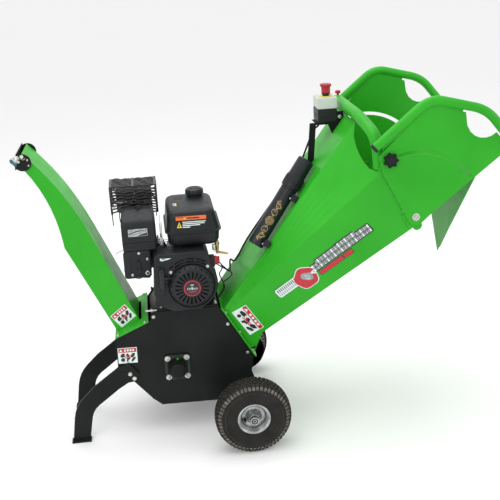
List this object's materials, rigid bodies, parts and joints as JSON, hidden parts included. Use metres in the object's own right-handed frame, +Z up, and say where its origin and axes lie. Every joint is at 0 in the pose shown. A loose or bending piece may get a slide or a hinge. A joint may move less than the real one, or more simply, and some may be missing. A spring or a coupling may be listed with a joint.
{
  "type": "wood chipper",
  "caption": "Petrol wood chipper with a folding feed tray, wide hopper, cutting rotor, belt drive, curved discharge chute and two wheels.",
  "frame": {"origin": "on the ground, under the middle of the whole machine's bounding box, halfway between its two sides", "axes": "+X towards the feed tray, -X towards the discharge chute, +Y towards the belt drive, -Y towards the recoil starter, +Z up"},
  "size_m": [1.6444, 0.7036, 1.2193],
  "materials": {
    "green_paint": "gloss powder coat",
    "black_paint": "satin powder coat",
    "black_plastic": "fine grained",
    "engine_casting": "painted black",
    "tyre": "matte tread",
    "rubber": "matte",
    "zinc": "zinc plated",
    "steel": "bare steel",
    "cast_iron": "rough",
    "red_plastic": "gloss",
    "grey_plastic": "fine grained",
    "brass": "satin"
  },
  "bodies": {
    "machine": {"air_cleaner_cover": "black_plastic", "axle": "zinc", "bed_knife": "steel", "belt_guard": "black_paint", "blower_housing": "black_plastic", "body_far_plate": "black_paint", "body_near_plate": "black_paint", "carburettor": "engine_casting", "crankcase": "engine_casting", "cylinder": "cast_iron", "discharge_chute": "green_paint", "document_tube": "black_plastic", "drive_belt": "rubber", "drum_cover": "black_paint", "drum_wrap": "black_paint", "engine_plate": "black_paint", "estop_base": "black_plastic", "estop_bracket": "black_paint", "estop_lid": "grey_plastic", "far_bearing": "black_paint", "far_leg": "black_paint", "fuel_tank": "black_plastic", "hopper": "green_paint", "hopper_hoop": "green_paint", "muffler": "cast_iron", "muffler_guard": "black_paint", "near_bearing": "black_paint", "near_leg": "black_paint", "recoil_cover": "black_plastic", "stop_cable": "rubber"},
    "near_wheel": {"near_tyre": "tyre", "near_rim": "zinc"},
    "far_wheel": {"far_tyre": "tyre", "far_rim": "zinc"},
    "rotor_assembly": {"rotor": "steel", "rotor_blade_1": "steel", "rotor_blade_2": "steel", "driven_pulley": "cast_iron"},
    "engine_shaft": {"crankshaft": "steel", "flywheel": "cast_iron", "clutch_pulley": "cast_iron"},
    "feed_tray": {"near_wing": "green_paint", "far_wing": "green_paint", "near_handle": "green_paint", "far_handle": "green_paint", "tray_floor": "green_paint", "tray_lip": "green_paint"},
    "near_clamp_knob": {"near_star_knob": "black_plastic"},
    "far_clamp_knob": {"far_star_knob": "black_plastic"},
    "stop_button": {"estop_button": "red_plastic"},
    "guard_bar_button": {"bar_button": "red_plastic"},
    "deflector": {"deflector_flap": "black_paint"},
    "deflector_clamp": {"deflector_lever": "zinc"},
    "starter_grip": {"recoil_grip": "black_plastic"},
    "filler_cap": {"fuel_cap": "black_plastic"},
    "document_tube_cap": {"tube_cap": "black_plastic"},
    "throttle": {"throttle_lever": "zinc"},
    "choke": {"choke_lever": "black_plastic"},
    "fuel_tap": {"fuel_valve_lever": "brass"},
    "ignition_switch": {"engine_switch": "red_plastic"}
  },
  "joints": [
    {"name": "near_wheel_spin", "type": "hinge", "parent": "machine", "child": "near_wheel", "pos_m": [-0.0822, -0.3, 0.135], "axis": [0, 1, 0], "continuous": true},
    {"name": "far_wheel_spin", "type": "hinge", "parent": "machine", "child": "far_wheel", "pos_m": [-0.0822, 0.3, 0.135], "axis": [0, 1, 0], "continuous": true},
    {"name": "rotor_spin", "type": "hinge", "parent": "machine", "child": "rotor_assembly", "pos_m": [-0.3292, 0, 0.262], "axis": [0, 1, 0], "continuous": true},
    {"name": "engine_shaft_spin", "type": "hinge", "parent": "machine", "child": "engine_shaft", "pos_m": [-0.2582, 0, 0.588], "axis": [0, 1, 0], "continuous": true},
    {"name": "feed_tray_fold", "type": "hinge", "parent": "machine", "child": "feed_tray", "pos_m": [0.4838, 0, 0.825], "axis": [0, -1, 0], "range_deg": [0, 78]},
    {"name": "near_clamp_knob_turn", "type": "hinge", "parent": "machine", "child": "near_clamp_knob", "pos_m": [0.39513, -0.3345, 1.02415], "axis": [0, 1, 0], "range_deg": [0, 360]},
    {"name": "far_clamp_knob_turn", "type": "hinge", "parent": "machine", "child": "far_clamp_knob", "pos_m": [0.39513, 0.3345, 1.02415], "axis": [0, 1, 0], "range_deg": [0, 360]},
    {"name": "stop_button_push", "type": "slide", "parent": "machine", "child": "stop_button", "axis": [0, 0, -1], "range_m": [0, 0.005], "stiffness_N_per_m": 1200},
    {"name": "guard_bar_button_push", "type": "slide", "parent": "machine", "child": "guard_bar_button", "axis": [0, 0, -1], "range_m": [0, 0.003], "stiffness_N_per_m": 900},
    {"name": "deflector_tilt", "type": "hinge", "parent": "machine", "child": "deflector", "pos_m": [-0.7842, 0, 1.044], "axis": [0, -1, 0], "range_deg": [-10, 40]},
    {"name": "deflector_clamp_turn", "type": "hinge", "parent": "deflector", "child": "deflector_clamp", "pos_m": [-0.8012, -0.0902, 1.059], "axis": [0, 1, 0], "range_deg": [0, 90]},
    {"name": "starter_pull", "type": "slide", "parent": "machine", "child": "starter_grip", "axis": [-1, 0, 0], "range_m": [0, 0.05], "stiffness_N_per_m": 150},
    {"name": "filler_cap_turn", "type": "hinge", "parent": "machine", "child": "filler_cap", "pos_m": [-0.2162, 0.074, 0.8465], "axis": [0, 0, 1], "range_deg": [0, 90]},
    {"name": "document_tube_cap_turn", "type": "hinge", "parent": "machine", "child": "document_tube_cap", "pos_m": [-0.02463, -0.106, 0.69611], "axis": [0.5841, 0.1904, 0.789], "range_deg": [0, 360]},
    {"name": "throttle_swing", "type": "hinge", "parent": "machine", "child": "throttle", "pos_m": [-0.3497, -0.066, 0.722], "axis": [0, 1, 0], "range_deg": [-20, 20]},
    {"name": "choke_swing", "type": "hinge", "parent": "machine", "child": "choke", "pos_m": [-0.4322, -0.1125, 0.64], "axis": [0, 1, 0], "range_deg": [0, 60]},
    {"name": "fuel_tap_turn", "type": "hinge", "parent": "machine", "child": "fuel_tap", "pos_m": [-0.1562, -0.079, 0.674], "axis": [0, 1, 0], "range_deg": [0, 90]},
    {"name": "ignition_switch_turn", "type": "hinge", "parent": "machine", "child": "ignition_switch", "pos_m": [-0.1717, -0.125, 0.658], "axis": [1, 0, 0], "range_deg": [0, 60]}
  ],
  "couplings": [
    {"joint": "engine_shaft_spin", "follows": "rotor_spin", "ratio": 1.4909}
  ]
}
